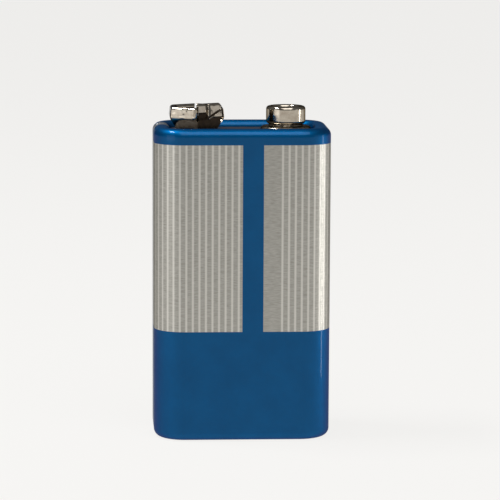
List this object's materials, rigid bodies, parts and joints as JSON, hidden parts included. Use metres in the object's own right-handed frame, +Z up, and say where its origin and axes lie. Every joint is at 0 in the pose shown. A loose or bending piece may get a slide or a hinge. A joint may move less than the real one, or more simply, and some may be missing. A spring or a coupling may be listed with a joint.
{
  "type": "nine volt battery",
  "caption": "Nine volt battery: a printed steel jacket curled over two end boards, with a snap stud and a six-petal snap socket on top.",
  "frame": {"origin": "centre of the foot, on the plane that the battery stands on", "axes": "+Z up through the terminals, +X from the socket to the stud, -Y towards the printed front"},
  "size_m": [0.0254, 0.0164, 0.0484],
  "materials": {
    "jacket_print": "gloss",
    "board": "satin",
    "nickel": "polished",
    "sleeve_card": "matte",
    "tinned_strip": "satin",
    "insulating_card": "matte",
    "cell_film": "satin",
    "zinc": "satin",
    "paste_paper": "matte",
    "mix": "matte"
  },
  "bodies": {
    "root": {"jacket": "jacket_print", "top_board": "board", "bottom_board": "board", "positive_stud": "nickel", "positive_rivet": "nickel", "negative_socket": "nickel", "negative_rivet": "nickel", "stack_sleeve": "sleeve_card", "negative_lead": "tinned_strip", "positive_contact": "tinned_strip", "insulating_card": "insulating_card", "cell_1_film": "cell_film", "cell_1_zinc": "zinc", "cell_1_paper": "paste_paper", "cell_1_mix": "mix", "cell_2_film": "cell_film", "cell_2_zinc": "zinc", "cell_2_paper": "paste_paper", "cell_2_mix": "mix", "cell_3_film": "cell_film", "cell_3_zinc": "zinc", "cell_3_paper": "paste_paper", "cell_3_mix": "mix", "cell_4_film": "cell_film", "cell_4_zinc": "zinc", "cell_4_paper": "paste_paper", "cell_4_mix": "mix", "cell_5_film": "cell_film", "cell_5_zinc": "zinc", "cell_5_paper": "paste_paper", "cell_5_mix": "mix", "cell_6_film": "cell_film", "cell_6_zinc": "zinc", "cell_6_paper": "paste_paper", "cell_6_mix": "mix"}
  },
  "joints": []
}
